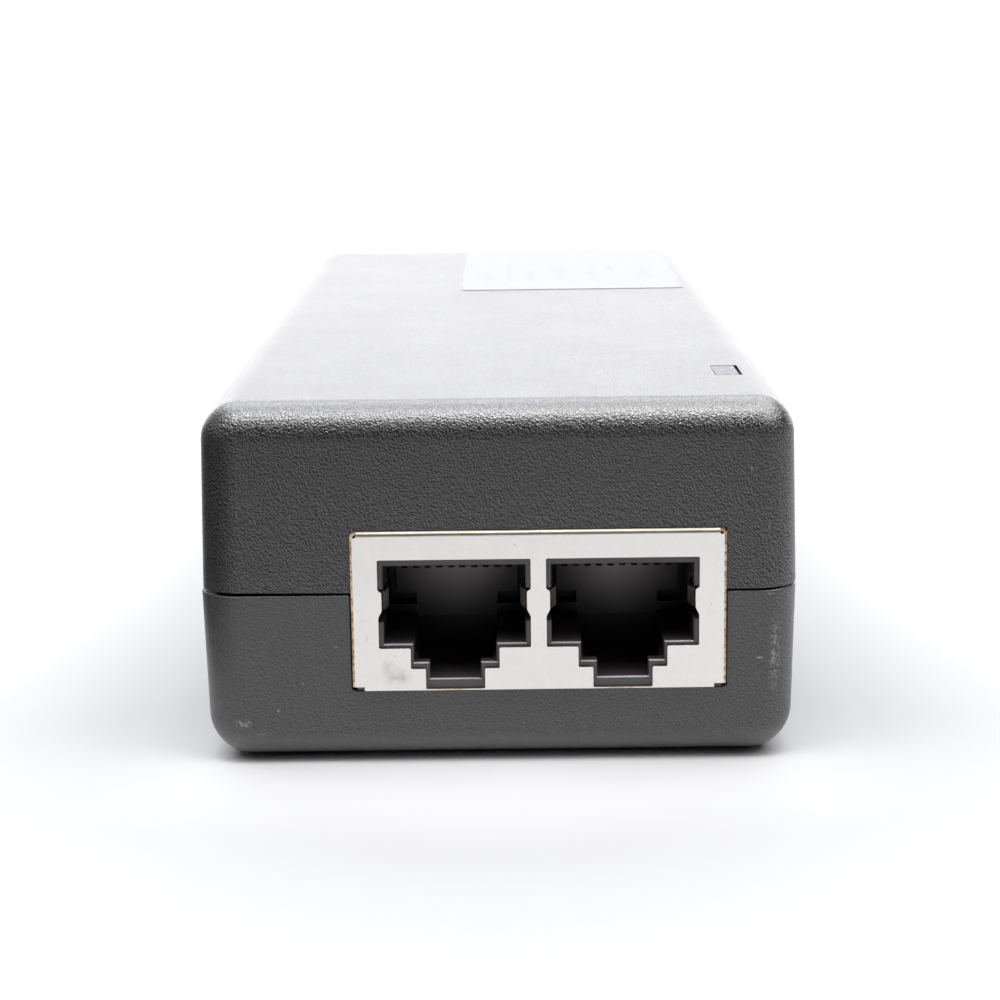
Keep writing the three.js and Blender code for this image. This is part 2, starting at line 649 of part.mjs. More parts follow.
function makeBoard() {
  const group = new THREE.Group();
  group.add(mesh("main_board", mainBoard(), LOOK.board));
  group.add(mesh("insulation_sheet", insulationSheet(), LOOK.film));
  group.add(mesh("status_led", statusLed(), LOOK.clear, LED_X, LED_Y));

  const components = new THREE.Group();
  components.position.z = STAND_Z;
  const stand = (name, solid, material, x, y) => components.add(mesh(name, solid, material, x, y));
  stand("fuse", can(4.2, 7.7), LOOK.epoxy, -17.9, 35.8);
  stand("varistor", disc(5, 4), LOOK.blueDisc, -17.5, 25);
  stand("x_capacitor", block(15, 8, 13.5), LOOK.yellowBox, 13.6, 31.5);
  stand("choke_core", chokeCore(), LOOK.ferrite, -4, 31);
  stand("choke_winding_a", chokeWinding(), LOOK.copper, -10, 31);
  stand("choke_winding_b", chokeWinding(), LOOK.copper, 2, 31);
  stand("bridge_rectifier", bridgeRectifier(), LOOK.epoxy, -8, 20);
  stand("bulk_capacitor", lyingCan(8, 24), LOOK.sleeve, 12, 10.5);
  stand("primary_heatsink", heatsink(20), LOOK.aluminium, -16.5, 5);
  stand("switching_transistor", powerDevice().rotate([0, 0, 180]), LOOK.epoxy, -12.7, 5);
  stand("pwm_controller", chip(5, 6, 2, 4), LOOK.epoxy, -5, 5);
  stand("transformer_core", transformerCore(), LOOK.ferrite, -3.5, -13);
  stand("transformer_winding", transformerWinding(), LOOK.tape, -3.5, -13);
  stand("y_capacitor", disc(4, 3.5), LOOK.blueDisc, 13, -8);
  stand("optocoupler", chip(6.4, 4.6, 3.4, 2), LOOK.epoxy, -18, -24.5);
  stand("secondary_heatsink", heatsink(16), LOOK.aluminium, 19.5, -22);
  stand("output_diode", powerDevice(), LOOK.epoxy, 17.2, -22);
  stand("output_capacitor_1", can(5, 18), LOOK.sleeve, -10.5, -30);
  stand("output_capacitor_2", can(5, 18), LOOK.sleeve, 0.5, -30);
  stand("output_inductor", drum(), LOOK.copper, 9.8, -30.5);
  stand("poe_controller", chip(4, 10, 1.9, 8).rotate([0, 0, 90]), LOOK.epoxy, 4, -38.8);
  stand("data_transformer", chip(6.4, 15.5, 5.8, 8), LOOK.epoxy, -17.3, -50);
  group.add(components);
  return group;
}

const injector = new THREE.Group();
injector.add(makeCase(), makeJack(), makeInlet(), makeBoard());
export default injector;
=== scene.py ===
import json
import math

import bmesh
import bpy
from mathutils import Matrix, Vector


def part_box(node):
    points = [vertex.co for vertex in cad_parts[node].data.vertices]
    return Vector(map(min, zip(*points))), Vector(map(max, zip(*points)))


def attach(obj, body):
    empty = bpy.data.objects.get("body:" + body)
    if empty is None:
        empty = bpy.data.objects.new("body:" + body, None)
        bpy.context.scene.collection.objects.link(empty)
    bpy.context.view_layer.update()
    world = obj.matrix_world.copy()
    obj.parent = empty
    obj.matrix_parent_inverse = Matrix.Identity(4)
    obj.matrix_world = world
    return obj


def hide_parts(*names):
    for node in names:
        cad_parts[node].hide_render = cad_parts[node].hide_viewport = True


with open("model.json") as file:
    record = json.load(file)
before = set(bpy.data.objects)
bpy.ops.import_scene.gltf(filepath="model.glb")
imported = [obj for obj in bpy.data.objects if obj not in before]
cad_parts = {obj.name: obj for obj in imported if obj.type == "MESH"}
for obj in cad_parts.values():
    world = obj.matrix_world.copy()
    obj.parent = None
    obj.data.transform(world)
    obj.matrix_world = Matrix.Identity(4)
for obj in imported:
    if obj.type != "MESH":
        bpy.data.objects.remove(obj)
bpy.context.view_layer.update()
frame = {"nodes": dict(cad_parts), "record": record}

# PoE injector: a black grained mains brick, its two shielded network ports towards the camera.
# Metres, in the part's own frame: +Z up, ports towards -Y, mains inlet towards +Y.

MM = 0.001
NODES = frame["nodes"]

# ---------------------------------------------------------------- places taken from the frame

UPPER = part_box("upper_shell")
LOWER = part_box("lower_shell")
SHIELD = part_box("jack_shield")
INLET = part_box("inlet_housing")
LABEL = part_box("top_label")
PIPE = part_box("light_pipe")

HALF_X = UPPER[1].x
HALF_Y = UPPER[1].y
TOP_Z = UPPER[1].z
TONGUE_HIGH = 1.0 * MM
SEAM_Z = LOWER[1].z - TONGUE_HIGH
JACK_X = (SHIELD[0].x + SHIELD[1].x) / 2
JACK_Y = SHIELD[0].y
SHIELD_HALF = (SHIELD[1].x - SHIELD[0].x) / 2
PORT_PITCH = 13.97 * MM
PORT_PLACES = [JACK_X - PORT_PITCH / 2, JACK_X + PORT_PITCH / 2]
INLET_Z = (INLET[0].z + INLET[1].z) / 2
PIPE_X = (PIPE[0].x + PIPE[1].x) / 2
PIPE_Y = (PIPE[0].y + PIPE[1].y) / 2

# ---------------------------------------------------------------- case proportions

DRAFT = math.tan(math.radians(1.33))
CORNER_R = 3.4 * MM
CORNER_R_LEAST = 0.6 * MM
TOP_R = 3.1 * MM
BOTTOM_R = 3.9 * MM
WALL = 2.0 * MM
SEAM_GAP = 0.20 * MM
FIT_GAP = 0.15 * MM
CASE_EASE = 0.12 * MM
OUTSIDE_STEPS = 14
INSIDE_STEPS = 4

TONGUE_IN = 1.2 * MM
RABBET_IN = 1.05 * MM
RABBET_HIGH = 1.15 * MM

BOSS_R, BOSS_TOP = 4 * MM, 4.7 * MM
BORE_R, BORE_DEEP = 2.8 * MM, 2.4 * MM
HOLE_R, HOLE_TOP = 1.6 * MM, 6 * MM
PILLAR_R, PILLAR_FOOT = 3 * MM, 6.5 * MM
PILOT_R, PILOT_FOOT, PILOT_TOP = 1.4 * MM, 5 * MM, 14 * MM

INLET_HALF_X = 13.65 * MM
INLET_CHAMFER = 5 * MM
WINDOW_HALF_X, WINDOW_HALF_Y = 1.2 * MM, 2.75 * MM

# The upper half stops short of the lower one on the left, and gapes at the left front corner.
LEFT_SHORT = 0.1 * MM
GAPE, GAPE_REACH = 0.10 * MM, 4 * MM

# ---------------------------------------------------------------- jack shield proportions

SHEET = 0.25 * MM
BEND = 0.45 * MM
BEND_STEPS = 6
STRIP_IN = 0.17 * MM
FOLD_NOTCH = 0.5 * MM
FOOT_LIFT = 0.33 * MM
FOOT_WIDE = 0.97 * MM

# Right half of the opening before a port, from the port's middle: x and z, mm, from the top down.
OPENING = [
    (6.35, 17.7), (6.35, 15.1), (6.03, 14.93), (6.03, 13.35), (6.33, 12.8),
    (6.33, 10.13), (3.7, 10.13), (3.7, 8.35), (2.47, 8.35), (2.47, 6.60),
]

# Middle line of a grounding spring: x from the port's middle and y behind the shield's front, mm.
SPRING = [
    (6.15, 0.12), (6.0, 0.45), (5.72, 1.2), (5.6, 1.9), (5.66, 2.5), (5.88, 3.6), (6.22, 5.2),
]
SPRING_HALF_THICK = 0.1
SPRING_FOOT, SPRING_TOP = 13.38 * MM, 14.9 * MM

# Half of a case screw's section, head down: radius and z, mm.
SCREW = [
    (0, 0.6), (1.9, 0.6), (2.2, 0.68), (2.42, 0.9), (2.5, 1.2), (2.5, 2.3),
    (1.25, 2.3), (1.25, 10), (0.3, 12), (0, 12),
]
RECESS_ARM, RECESS_HALF, RECESS_TOP = 1.5 * MM, 0.36 * MM, 1.7 * MM

# ---------------------------------------------------------------- light, print, marks and stains

# Softboxes: name, lowest and highest elevation, radiance, width, compass turn from +Y, tint.
# The elevations go up from the far horizon and over the top, and every angle is in degrees.
STUDIO = [
    ("back_low", 0, 14, 4.15, 100, 0, (0.99, 0.985, 1.0)),
    ("back_high", 30, 62, 5.9, 60, 0, (0.93, 0.965, 1.0)),
    ("strip_back", 70, 96, 2.0, 26, 0, (0.95, 0.97, 1.0)),
    ("strip_front", 94, 106, 28, 26, 0, (0.99, 0.995, 1.0)),
    ("fill_left", 122, 150, 1.2, 30, -48, (1.0, 1.0, 1.0)),
    ("left_high", 40, 75, 6.9, 50, -90, (1.0, 0.995, 1.0)),
    ("right_high", 40, 75, 6.6, 50, 90, (1.0, 0.995, 1.0)),
]
LIGHT_DISTANCE = 1.5
LIGHT_TARGET = Vector((0, 0, 0.01))
AMBIENT = 0.04
BACKDROP = 1.1

# Faint blocks of print on the label: x and y from its corner, then half width and half depth, mm.
PRINT = [
    (3.2, 12, 1.2, 8), (5.6, 20, 0.7, 14), (8.2, 14, 1.0, 10), (11.6, 18, 1.9, 11),
    (15.6, 16, 0.8, 12), (18.0, 22, 0.9, 10), (21.8, 15, 1.8, 9),
]

# Pale rubs and specks on the case front: x and z, half width and half height (mm), strength.
MARKS = [
    (-21.6, 3.6, 1.0, 0.55, 0.9), (-18.6, 4.7, 0.25, 0.2, 0.9), (-17.2, 4.8, 0.2, 0.15, 0.9),
    (-20.2, 2.6, 1.4, 0.3, 0.35), (-16.5, 7.0, 0.15, 0.25, 0.8), (-13.6, 10.2, 0.12, 0.12, 0.9),
    (20.9, 24.9, 0.14, 0.35, 0.9), (22.4, 20.0, 0.1, 0.3, 0.7), (22.7, 17.0, 0.12, 0.12, 0.7),
    (23.0, 9.0, 0.7, 4.6, 0.45), (21.7, 8.9, 0.5, 0.09, 1.0), (-14.6, 21.8, 0.1, 0.1, 0.7),
    (2.0, 3.4, 0.3, 0.12, 0.6), (22.6, 14.4, 0.5, 0.12, 0.6),
]

# Stains on the shield: x from its middle and z, half width and half height (mm), colour, strength.
GREY_FILM, TAN, SOOT = (0.58, 0.57, 0.55, 1), (0.62, 0.48, 0.32, 1), (0.05, 0.045, 0.04, 1)
STAINS = [
    (-11.9, 7.7, 1.7, 1.1, GREY_FILM, 0.8), (-12.6, 8.6, 0.8, 1.0, GREY_FILM, 0.5),
    (-11.4, 7.6, 0.14, 0.5, TAN, 0.8), (-12.0, 9.5, 0.12, 0.12, SOOT, 0.9),
    (-14.6, 12.6, 0.15, 0.4, TAN, 0.6), (-14.3, 11.0, 0.12, 0.5, TAN, 0.5),
    (-1.9, 18.9, 0.12, 0.1, SOOT, 0.5), (14.3, 13.6, 0.1, 0.3, SOOT, 0.6),
    (-5.6, 18.6, 0.1, 0.12, TAN, 0.7), (9.5, 8.2, 0.08, 0.08, SOOT, 0.5),
    (-7.0, 6.52, 2.9, 0.14, TAN, 1.0), (7.0, 6.52, 2.9, 0.14, TAN, 1.0),
]


# ---------------------------------------------------------------- mesh helpers

SHARP_TURN = math.radians(50)
CYLINDER_SIDES = 48
SPUN_SIDES = 64


def new_object(name, data):
    obj = bpy.data.objects.new(name, data)
    bpy.context.scene.collection.objects.link(obj)
    return obj


def mesh_from(name, vertices, faces):
    mesh = bpy.data.meshes.new(name)
    mesh.from_pydata([tuple(v) for v in vertices], [], faces)
    mesh.update()
    return mesh


def face_out(mesh):
    work = bmesh.new()
    work.from_mesh(mesh)
    bmesh.ops.recalc_face_normals(work, faces=work.faces)
    work.to_mesh(mesh)
    work.free()


def solid(name, vertices, faces):
    mesh = mesh_from(name, vertices, faces)
    face_out(mesh)
    return new_object(name, mesh)


def settle(obj):
    """Replaces the object's mesh with what its modifiers make of it."""
    graph = bpy.context.evaluated_depsgraph_get()
    made = bpy.data.meshes.new_from_object(obj.evaluated_get(graph))
    obj.modifiers.clear()
    obj.data = made
    return obj


def boolean(obj, tools, operation):
    for tool in tools:
        step = obj.modifiers.new("step", "BOOLEAN")
        step.operation = operation
        step.solver = "EXACT"
        step.object = tool
    settle(obj)
    for tool in tools:
        bpy.data.objects.remove(tool)


def cut(obj, *tools):
    boolean(obj, tools, "DIFFERENCE")


def join(obj, *tools):
    boolean(obj, tools, "UNION")


def shade(obj):
    """Smooth shading led by the large faces, broken where the surface turns by SHARP_TURN."""
    obj.data.shade_smooth()
    obj.data.set_sharp_from_angle(angle=SHARP_TURN)
    weight = obj.modifiers.new("weight", "WEIGHTED_NORMAL")
    weight.mode = "FACE_AREA"
    weight.weight = 100
    weight.keep_sharp = True
    return settle(obj)


def ease_edges(obj, width, segments=2, angle=35):
    """Rounds every edge that turns by more than the angle, in degrees, and shades the result."""
    bevel = obj.modifiers.new("bevel", "BEVEL")
    bevel.width = width
    bevel.segments = segments
    bevel.limit_method = "ANGLE"
    bevel.angle_limit = math.radians(angle)
    return shade(settle(obj))


def prism(name, outline, axis, start, end):
    """Closed prism of an outline: [y, z] points along x, [x, z] along y, [x, y] along z."""
    place = {
        "x": lambda u, v, w: (w, u, v),
        "y": lambda u, v, w: (u, w, v),
        "z": lambda u, v, w: (u, v, w),
    }[axis]
    count = len(outline)
    vertices = [place(u, v, w) for w in (start, end) for u, v in outline]
    sides = [(i, (i + 1) % count, count + (i + 1) % count, count + i) for i in range(count)]
    return solid(name, vertices, sides + [tuple(range(count)), tuple(range(count, 2 * count))])


def box(name, x0, x1, y0, y1, z0, z1):
    return prism(name, [(x0, y0), (x1, y0), (x1, y1), (x0, y1)], "z", z0, z1)


def cylinder(name, radius, x, y, z0, z1):
    turns = [2 * math.pi * i / CYLINDER_SIDES for i in range(CYLINDER_SIDES)]
    outline = [(x + radius * math.cos(a), y + radius * math.sin(a)) for a in turns]
    return prism(name, outline, "z", z0, z1)


def rounded(outline, radius, steps=4):
    """The outline with each corner replaced by a curve that starts and ends a radius away."""
    result = []
    for i, corner in enumerate(outline):
        here = Vector(corner)
        before = Vector(outline[i - 1]) - here
        after = Vector(outline[(i + 1) % len(outline)]) - here
        reach = min(radius, before.length * 0.45, after.length * 0.45)
        start = here + before.normalized() * reach
        end = here + after.normalized() * reach
        for k in range(steps + 1):
            t = k / steps
            result.append(tuple((1 - t) ** 2 * start + 2 * t * (1 - t) * here + t ** 2 * end))
    return result


def spun(name, profile, x, y):
    """Solid of revolution about an upright axis; the [radius, z] profile starts and ends on it."""
    middle = profile[1:-1]
    n = len(middle)
    vertices = [(x, y, profile[0][1]), (x, y, profile[-1][1])]
    for i in range(SPUN_SIDES):
        a = 2 * math.pi * i / SPUN_SIDES
        vertices += [(x + r * math.cos(a), y + r * math.sin(a), z) for r, z in middle]
    faces = []
    for i in range(SPUN_SIDES):
        here, there = 2 + i * n, 2 + ((i + 1) % SPUN_SIDES) * n
        faces.append((0, there, here))
        faces.append((1, here + n - 1, there + n - 1))
        faces += [(here + k, there + k, there + k + 1, here + k + 1) for k in range(n - 1)]
    return solid(name, vertices, faces)


def lofted(name, rings):
    """Solid through rings of equal point counts, closed at both ends."""
    count = len(rings[0])
    vertices = [p for ring in rings for p in ring]
    faces = [tuple(range(count)), tuple(range(len(vertices) - count, len(vertices)))]
    for r in range(len(rings) - 1):
        for i in range(count):
            a, b = r * count + i, r * count + (i + 1) % count
            faces.append((a, b, b + count, a + count))
    return solid(name, vertices, faces)


def refined(name, node, width, segments=2):
    """A copy of a CAD node with its flat faces made whole and its edges rounded."""
    work = bmesh.new()
    work.from_mesh(NODES[node].data)
    bmesh.ops.remove_doubles(work, verts=work.verts, dist=0.002 * MM)
    bmesh.ops.dissolve_limit(
        work, angle_limit=math.radians(0.5), use_dissolve_boundaries=False,
        verts=work.verts, edges=work.edges, delimit=set(),
    )
    mesh = bpy.data.meshes.new(name)
    work.to_mesh(mesh)
    work.free()
    return ease_edges(new_object(name, mesh), width, segments)


def stand_for(obj, node, material, body="case"):
    obj.data.materials.clear()
    obj.data.materials.append(material)
    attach(obj, body)
    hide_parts(node)
    return obj


# ---------------------------------------------------------------- shader helper

class Shader:
    """A Principled material whose patterns follow the object's own coordinates."""

    def __init__(self, name):
        self.material = bpy.data.materials.new(name)
        self.material.use_nodes = True
        self.tree = self.material.node_tree
        self.bsdf = self.tree.nodes["Principled BSDF"]
        self.place = self.add("ShaderNodeTexCoord").outputs["Object"]

    def put(self, socket, value):
        if isinstance(value, bpy.types.NodeSocket):
            self.tree.links.new(value, socket)
        else:
            socket.default_value = value

    def add(self, kind, inputs=None, **settings):
        node = self.tree.nodes.new(kind)
        for key, value in settings.items():
            setattr(node, key, value)
        for key, value in (inputs or {}).items():
            self.put(node.inputs[key], value)
        return node

    def set(self, **values):
        """Sets or links the Principled sockets that the keywords name, with _ for each space."""
        for key, value in values.items():
            self.put(self.bsdf.inputs[key.replace("_", " ")], value)
        return self.material

    def along(self, axis):
        return self.add("ShaderNodeSeparateXYZ", {"Vector": self.place}).outputs[axis]

    def noise(self, size, detail=2.0, rough=0.5, distortion=0.0, where=None, stretch=(1, 1, 1)):
        """Noise whose features are about size metres across."""
        scaled = self.add("ShaderNodeMapping", {"Vector": where or self.place, "Scale": stretch})
        node = self.add("ShaderNodeTexNoise", {
            "Vector": scaled.outputs["Vector"], "Scale": 1 / size, "Detail": detail,
            "Roughness": rough, "Distortion": distortion,
        })
        return node.outputs["Fac"]

    def ramp(self, value, low, high, out_low=0.0, out_high=1.0, smooth=True):
        kind = "SMOOTHSTEP" if smooth else "LINEAR"
        node = self.add("ShaderNodeMapRange", {
            "Value": value, "From Min": low, "From Max": high,
            "To Min": out_low, "To Max": out_high,
        }, interpolation_type=kind)
        return node.outputs["Result"]

    def math(self, operation, a, b=0.0):
        return self.add("ShaderNodeMath", {0: a, 1: b}, operation=operation).outputs["Value"]

    def times(self, value, *factors):
        for factor in factors:
            value = self.math("MULTIPLY", value, factor)
        return value

    def vector(self, operation, a, b=(0, 0, 0)):
        return self.add("ShaderNodeVectorMath", {0: a, 1: b}, operation=operation)

    def mix(self, factor, a, b):
        """Blend of two RGBA colours; the node's sockets 6, 7 and out 2 are its colour ones."""
        node = self.add("ShaderNodeMix", {"Factor": factor, 6: a, 7: b}, data_type="RGBA")
        return node.outputs[2]

    def bump(self, height, distance):
        node = self.add("ShaderNodeBump", {"Height": height, "Distance": distance, "Strength": 1.0})
        return node.outputs["Normal"]

    def near(self, centre, radii):
        """1 at a place on the object, falling to 0 at the given distances along x, y and z."""
        moved = self.vector("SUBTRACT", self.place, centre).outputs["Vector"]
        scaled = self.vector("DIVIDE", moved, radii).outputs["Vector"]
        return self.ramp(self.vector("LENGTH", scaled).outputs["Value"], 1.0, 0.0)


def opaque(tone, factor=1.0):
    """RGBA of a tone times a factor, each channel held at 1."""
    return tuple(min(factor * c, 1) for c in tone) + (1,)


# ---------------------------------------------------------------- materials

def case_plastic(name, grain_depth, base_tone, slope_shading, gloss):
    """Black spark-eroded moulding: worm-like grain a fifth of a millimetre across.

    relief paints light and shade on the grain: the tones of its lower and upper slopes as multiples
    of base_tone.
    gloss is how far the specular level swings either side of a half between them, a painted sheen
    that follows the same slopes.
    """
    s = Shader(name)
    grain_size = 0.19 * MM
    worm = {"detail": 1.0, "rough": 0.45, "distortion": 0.6, "stretch": (1.25, 1, 0.95)}
    # Painted light and shade: the difference between the grain and a copy of it that is shifted up
    # tells the upper slopes, painted lighter, from the lower ones, painted darker.
    lifted = s.vector("ADD", s.place, (0.02 * MM, 0, 0.05 * MM)).outputs["Vector"]
    worms = s.noise(grain_size, **worm)
    above = s.noise(grain_size, where=lifted, **worm)
    painted_slope_light = s.ramp(s.math("SUBTRACT", worms, above), -0.09, 0.09)
    fine = s.noise(0.11 * MM, detail=1.0)
    grain = s.math("ADD", s.ramp(worms, 0.25, 0.75, smooth=False), s.times(fine, 0.55))

    dust = s.ramp(s.noise(0.20 * MM, rough=0.6), 0.80, 0.86)
    flecks = s.times(dust, 0.2)
    streaks = s.ramp(s.noise(0.25 * MM), 0.45, 0.62)
    for x, z, wide, tall, strength in MARKS:
        spot = s.near((x * MM, -HALF_Y, z * MM), (wide * MM, 3 * MM, tall * MM))
        if strength < 1:
            spot = s.times(spot, streaks, strength)
        flecks = s.math("MAXIMUM", flecks, spot)

    # Painted reflection of the bright floor: the lower edge is painted paler towards the bottom,
    # but the underside isn't.
    height = s.along("Z")
    floor_reflection_paint = s.math("POWER", s.ramp(height, 3.4 * MM, 0.0), 1.5)
    floor_reflection_paint = s.times(floor_reflection_paint, s.ramp(height, 0.02 * MM, 0.2 * MM))
    tint = (1.04, 0.97, 1.0)
    # Darker and lighter tones for the grain's lower and upper slopes: painted shade and painted
    # light.
    low, high = (tuple(max(base_tone * k, 0.001) * c for c in tint) + (1,) for k in slope_shading)
    colour = s.mix(floor_reflection_paint, s.mix(painted_slope_light, low, high), (0.30, 0.29, 0.295, 1))

    # The painted sheen's swing in gloss fades out towards the flat top.
    upright = s.ramp(height, TOP_Z - 0.4 * MM, TOP_Z - 2.2 * MM)
    swing = s.times(s.ramp(painted_slope_light, 0.0, 1.0, -gloss, gloss, smooth=False), upright)
    tone = s.noise(9 * MM, detail=4.0, rough=0.6)
    return s.set(
        Base_Color=s.mix(flecks, colour, (0.45, 0.43, 0.40, 1)),
        Roughness=s.ramp(tone, 0.3, 0.7, 0.325, 0.345),
        Normal=s.bump(grain, grain_depth),
        Specular_IOR_Level=s.math("ADD", 0.5, swing),
        IOR=1.8,
    )


def nickel_sheet(name):
    """Satin nickel plate with rolling haze, pits, specks and a faint stain by the left port."""
    s = Shader(name)
    haze = s.noise(2.2 * MM, detail=5.0, rough=0.65)
    rolled = s.noise(0.5 * MM, detail=3.0, rough=0.6, stretch=(0.15, 1, 1))
    pits = s.ramp(s.noise(0.16 * MM), 0.70, 0.78)
    base = s.mix(s.ramp(haze, 0.3, 0.7), (0.86, 0.84, 0.815, 1), (0.94, 0.922, 0.90, 1))
    base = s.mix(s.times(pits, 0.35), base, (0.50, 0.44, 0.36, 1))
    broken = s.ramp(s.noise(0.6 * MM, detail=3.0), 0.3, 0.55)
    for dx, z, wide, tall, colour, strength in STAINS:
        patch = s.near((JACK_X + dx * MM, JACK_Y, z * MM), (wide * MM, MM, tall * MM))
        base = s.mix(s.times(patch, broken, strength), base, colour)
    return s.set(
        Base_Color=base,
        Metallic=1.0,
        Roughness=s.ramp(haze, 0.3, 0.7, 0.30, 0.42),
        Normal=s.bump(rolled, 0.004 * MM),
    )


def raw_brass(name):
    """Cut edge of the shield's sheet, tarnished in patches."""
    s = Shader(name)
    tarnish = s.ramp(s.noise(0.3 * MM, detail=3.0), 0.35, 0.65)
    return s.set(
        Base_Color=s.mix(tarnish, (0.28, 0.17, 0.08, 1), (0.74, 0.56, 0.34, 1)),
        Metallic=1.0,
        Roughness=0.35,
        Normal=s.bump(s.noise(0.06 * MM), 0.004 * MM),
    )


def dark_fold(name):
    """Plate along the fold where the sheet is bent: darker and duller, with stretched grain."""
    s = Shader(name)
    drawn = s.noise(0.4 * MM, detail=4.0, rough=0.6, stretch=(0.2, 1, 1))
    return s.set(
        Base_Color=s.mix(drawn, (0.16, 0.145, 0.115, 1), (0.30, 0.275, 0.23, 1)),
        Metallic=1.0,
        Roughness=0.45,
        Normal=s.bump(drawn, 0.006 * MM),
    )


def moulded(name, tone, rough, depth=0.002):
    """Plain moulded plastic: slight cloudiness and a fine tooling texture, depth mm deep."""
    s = Shader(name)
    cloud = s.noise(3 * MM, detail=4.0, rough=0.6)
    return s.set(
        Base_Color=s.mix(cloud, opaque(tone, 0.85), opaque(tone, 1.15)),
        Roughness=s.ramp(cloud, 0.3, 0.7, rough - 0.05, rough + 0.05),
        Normal=s.bump(s.noise(0.12 * MM), depth * MM),
        IOR=1.5,
    )


def jack_plastic(name):
    """Black moulding: glossy lips round the ports, and duller inside them, painted darker there as
    shade.

    A painted pool of light, lighter and glossier, lies high in the middle of each port's back wall.
    """
    s = Shader(name)
    cloud = s.noise(3 * MM, detail=4.0, rough=0.6)
    inside = s.ramp(s.along("Y"), JACK_Y + 0.4 * MM, JACK_Y + 0.9 * MM)
    reach = (6.3 * MM, 5 * MM, 7 * MM)
    # Painted light: a pool of light high on each port's back wall.
    left, right = (s.near((x, JACK_Y + 10.5 * MM, 16.5 * MM), reach) for x in PORT_PLACES)
    painted_light_pool = s.math("MAXIMUM", left, right)
    lip = s.mix(cloud, (0.046, 0.042, 0.043, 1), (0.054, 0.049, 0.050, 1))
    # Painted shade: the inside is darker than the lips, and lighter in the painted pool of light.
    hollow = s.mix(painted_light_pool, (0.030, 0.024, 0.029, 1), (0.22, 0.185, 0.21, 1))
    # Painted sheen: the gloss inside also rises in the painted pool of light.
    hollow_gloss = s.times(inside, s.ramp(painted_light_pool, 0.0, 1.0, 0.16, 0.55, smooth=False))
    lip_gloss = s.times(s.math("SUBTRACT", 1.0, inside), 0.5)
    return s.set(
        Base_Color=s.mix(inside, lip, hollow),
        Roughness=s.ramp(cloud, 0.3, 0.7, 0.36, 0.42),
        Normal=s.bump(s.noise(0.12 * MM), 0.002 * MM),
        Specular_IOR_Level=s.math("ADD", hollow_gloss, lip_gloss),
        IOR=1.68,
    )


def metal(name, tone, rough, stretch=(1, 1, 1)):
    """Bare or plated metal with a slight brushed grain."""
    s = Shader(name)
    brushed = s.noise(0.25 * MM, detail=4.0, rough=0.6, stretch=stretch)
    return s.set(
        Base_Color=s.mix(brushed, opaque(tone, 0.88), opaque(tone, 1.08)),
        Metallic=1.0,
        Roughness=s.ramp(brushed, 0.3, 0.7, rough - 0.06, rough + 0.08),
        Normal=s.bump(brushed, 0.002 * MM),
    )


def label_film(name):
    """White label with faint grey blocks where the print would be."""
    s = Shader(name)
    paper = s.noise(0.35 * MM, detail=3.0)
    blocks = 0.0
    for x, y, wide, deep in PRINT:
        centre = (LABEL[0].x + x * MM, LABEL[0].y + y * MM, LABEL[1].z)
        blocks = s.math("MAXIMUM", blocks, s.near(centre, (wide * MM, deep * MM, MM)))
    ink = s.times(blocks, s.ramp(s.noise(0.9 * MM), 0.35, 0.6), 0.5)
    return s.set(
        Base_Color=s.mix(ink, (0.25, 0.25, 0.252, 1), (0.205, 0.205, 0.212, 1)),
        Roughness=s.ramp(paper, 0.3, 0.7, 0.5, 0.58),
        Normal=s.bump(paper, 0.003 * MM),
        Specular_IOR_Level=0.02,
    )


def milky_clear(name):
    """Cloudy light pipe, dark while the light is off."""
    s = Shader(name)
    cloud = s.noise(0.8 * MM, detail=3.0)
    return s.set(
        Base_Color=s.mix(cloud, (0.060, 0.062, 0.075, 1), (0.080, 0.082, 0.095, 1)),
        Roughness=s.ramp(cloud, 0.3, 0.7, 0.35, 0.5),
        Normal=s.bump(s.noise(0.2 * MM), 0.004 * MM),
        Transmission_Weight=0.15,
    )


# ---------------------------------------------------------------- case

def case_ring(inset, z):
    """Outline of the case at a height, drawn in by the inset."""
    r = max(CORNER_R - 0.9 * inset, CORNER_R_LEAST)
    half_x = HALF_X - inset - r
    half_y = HALF_Y - inset - r
    ring = []
    for k, (sx, sy) in enumerate([(1, 1), (-1, 1), (-1, -1), (1, -1)]):
        for i in range(OUTSIDE_STEPS + 1):
            a = (k + i / OUTSIDE_STEPS) * math.pi / 2
            ring.append((sx * half_x + r * math.cos(a), sy * half_y + r * math.sin(a), z))
    return ring


def edge_rings(end_z, radius, inset, steps):
    """Rings from the drafted wall round the rounded edge to the flat end at end_z."""
    up = 1 if end_z > SEAM_Z else -1
    rings = []
    for i in range(steps + 1):
        a = i / steps * math.pi / 2
        z = end_z - up * radius * (1 - math.sin(a))
        rings.append(case_ring(inset + abs(z - SEAM_Z) * DRAFT + radius * (1 - math.cos(a)), z))
    return rings


def screw_places():
    for i in range(1, 5):
        low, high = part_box(f"case_screw_{i}")
        yield i, (low.x + high.x) / 2, (low.y + high.y) / 2


def posts(name, radius, z0, z1):
    """A cylinder at each case screw."""
    return [cylinder(name, radius, x, y, z0, z1) for _, x, y in screw_places()]


def half_shell(name, end_z, radius):
    """The outside of one half of the case as a solid, and the hollow to cut from it."""
    up = 1 if end_z > SEAM_Z else -1
    rim = SEAM_Z + up * SEAM_GAP / 2
    outside = [case_ring(abs(rim - SEAM_Z) * DRAFT, rim)]
    outside += edge_rings(end_z, radius, 0, OUTSIDE_STEPS)
    inside = [case_ring(WALL, SEAM_Z - up * 2 * MM)]
    inside += edge_rings(end_z - up * WALL, radius - WALL, WALL, INSIDE_STEPS)
    return lofted(name, outside), lofted("inside", inside)


